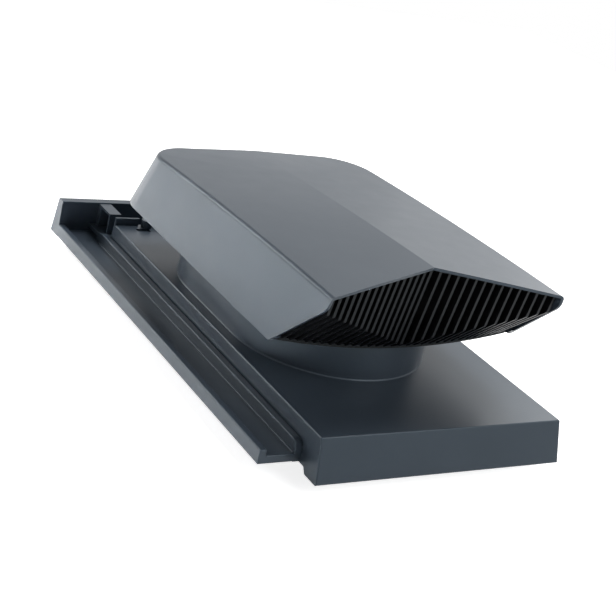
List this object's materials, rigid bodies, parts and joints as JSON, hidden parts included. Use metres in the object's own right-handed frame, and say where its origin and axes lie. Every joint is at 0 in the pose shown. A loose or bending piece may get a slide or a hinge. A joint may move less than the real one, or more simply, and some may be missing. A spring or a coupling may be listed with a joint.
{
  "type": "roof tile vent",
  "caption": "Flat interlocking roof tile carrying an obround collar and a low ridged hood whose V-shaped mouth is filled by thin upright fins, with a round duct socket below.",
  "frame": {"origin": "centre of the duct socket's mouth, on the underside of the tile, level with the foot of the front skirt", "axes": "+Z out of the roof, +Y up the roof towards the head of the tile, +X across the roof away from the interlock strip"},
  "size_m": [0.2801, 0.4721, 0.1619],
  "materials": {
    "slate_plastic": "fine satin moulded grain",
    "black_plastic": "fine satin moulded grain"
  },
  "bodies": {
    "root": {"base_tile": "slate_plastic", "hood": "slate_plastic", "grille": "black_plastic"}
  },
  "joints": []
}
